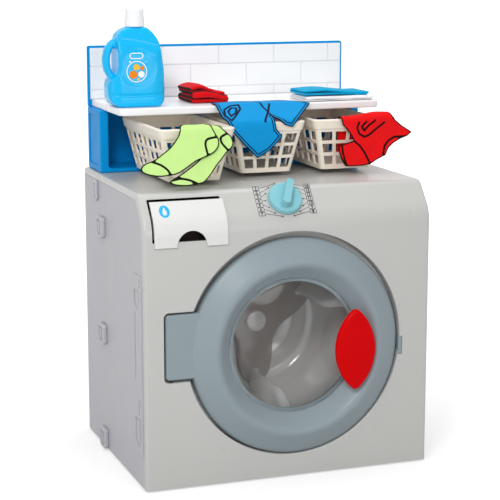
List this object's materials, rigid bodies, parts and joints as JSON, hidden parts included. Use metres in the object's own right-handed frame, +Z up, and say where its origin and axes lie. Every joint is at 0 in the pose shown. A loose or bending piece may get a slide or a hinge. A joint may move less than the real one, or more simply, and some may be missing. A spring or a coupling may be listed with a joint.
{
  "type": "toy washing machine",
  "caption": "Front-loading toy washing machine with a round hinged door, spinning drum, knob, detergent drawer, and a shelf unit with sliding laundry baskets and a bottle.",
  "frame": {"origin": "on the floor under the centre of the cabinet, on the base pad's face", "axes": "+X to the right and +Z up, both as seen from the front; +Y points to the back, so the door faces -Y"},
  "size_m": [0.412, 0.3246, 0.6156],
  "materials": {
    "front_grey": "satin moulded plastic, warm light grey",
    "side_grey": "fine textured plastic, cool grey",
    "trim_grey": "satin plastic, mid grey",
    "seal_rubber": "matt black rubber",
    "steel": "bright steel",
    "dark_plastic": "matt black plastic",
    "cell": "printed metal can",
    "hutch_blue": "glossy blue plastic",
    "board_white": "glossy white plastic",
    "ring_grey": "glossy blue-grey plastic",
    "clear_window": "clear plastic",
    "handle_red": "glossy red plastic",
    "drum_grey": "glossy grey plastic",
    "knob_aqua": "satin aqua plastic",
    "drawer_white": "satin off-white plastic",
    "basket_cream": "satin cream plastic",
    "bottle_blue": "glossy blue plastic",
    "cloth_red": "printed cloth",
    "cloth_white": "terry cloth",
    "cloth_turquoise": "terry cloth",
    "cloth_green": "printed cloth",
    "cloth_blue": "printed cloth"
  },
  "bodies": {
    "cabinet": {"front_panel": "front_grey", "left_side_panel": "side_grey", "right_side_panel": "side_grey", "rear_panel": "side_grey", "base_panel": "side_grey", "feet": "dark_plastic", "left_clips": "side_grey", "right_clips": "side_grey", "panel_screws": "steel", "door_seal": "seal_rubber", "bearing_bracket": "trim_grey", "hinge_pin": "steel", "latch_catch": "dark_plastic", "drawer_sleeve": "trim_grey", "sound_module": "dark_plastic", "speaker": "dark_plastic", "battery_box": "dark_plastic", "battery_cover": "side_grey", "batteries": "cell", "battery_screw": "steel", "hutch": "hutch_blue", "splash_board": "hutch_blue", "tile_face": "board_white", "shelf": "board_white", "folded_shirt": "cloth_red", "white_towels": "cloth_white", "turquoise_towel": "cloth_turquoise"},
    "door": {"door_ring": "ring_grey", "door_back_ring": "trim_grey", "door_window": "clear_window", "door_handle": "handle_red", "door_latch": "trim_grey", "door_screws": "steel"},
    "drum": {"drum_shell": "drum_grey", "drum_paddles": "drum_grey", "drum_hub_cap": "drum_grey", "drum_axle": "steel", "axle_clip": "steel"},
    "knob_unit": {"knob": "knob_aqua", "knob_shaft": "trim_grey"},
    "drawer": {"drawer_front": "drawer_white", "drawer_tray": "drawer_white"},
    "basket_left": {"left_basket": "basket_cream", "socks": "cloth_green"},
    "basket_middle": {"middle_basket": "basket_cream", "shorts": "cloth_blue"},
    "basket_right": {"right_basket": "basket_cream", "t_shirt": "cloth_red"},
    "bottle": {"bottle_body": "bottle_blue"},
    "cap": {"bottle_cap": "board_white"}
  },
  "joints": [
    {"name": "door_hinge", "type": "hinge", "parent": "cabinet", "child": "door", "pos_m": [-0.164, -0.1455, 0.1905], "axis": [0, 0, -1], "range_deg": [0, 100]},
    {"name": "drum_spin", "type": "hinge", "parent": "cabinet", "child": "drum", "pos_m": [0.008, 0, 0.178], "axis": [0, 1, 0], "continuous": true},
    {"name": "knob_turn", "type": "hinge", "parent": "cabinet", "child": "knob_unit", "pos_m": [-0.003, -0.13118, 0.3723], "axis": [0, -0.766, 0.6428], "continuous": true},
    {"name": "drawer_slide", "type": "slide", "parent": "cabinet", "child": "drawer", "axis": [0, -1, 0], "range_m": [0, 0.055]},
    {"name": "basket_left_slide", "type": "slide", "parent": "cabinet", "child": "basket_left", "axis": [0, -1, 0], "range_m": [-0.045, 0.015]},
    {"name": "basket_middle_slide", "type": "slide", "parent": "cabinet", "child": "basket_middle", "axis": [0, -1, 0], "range_m": [0, 0.06]},
    {"name": "basket_right_slide", "type": "slide", "parent": "cabinet", "child": "basket_right", "axis": [0, -1, 0], "range_m": [0, 0.06]},
    {"name": "bottle_lift", "type": "slide", "parent": "cabinet", "child": "bottle", "axis": [0, 0, 1], "range_m": [0, 0.06]},
    {"name": "cap_turn", "type": "hinge", "parent": "bottle", "child": "cap", "pos_m": [-0.157, 0.03, 0.6], "axis": [0, 0, 1], "range_deg": [0, 180]}
  ]
}
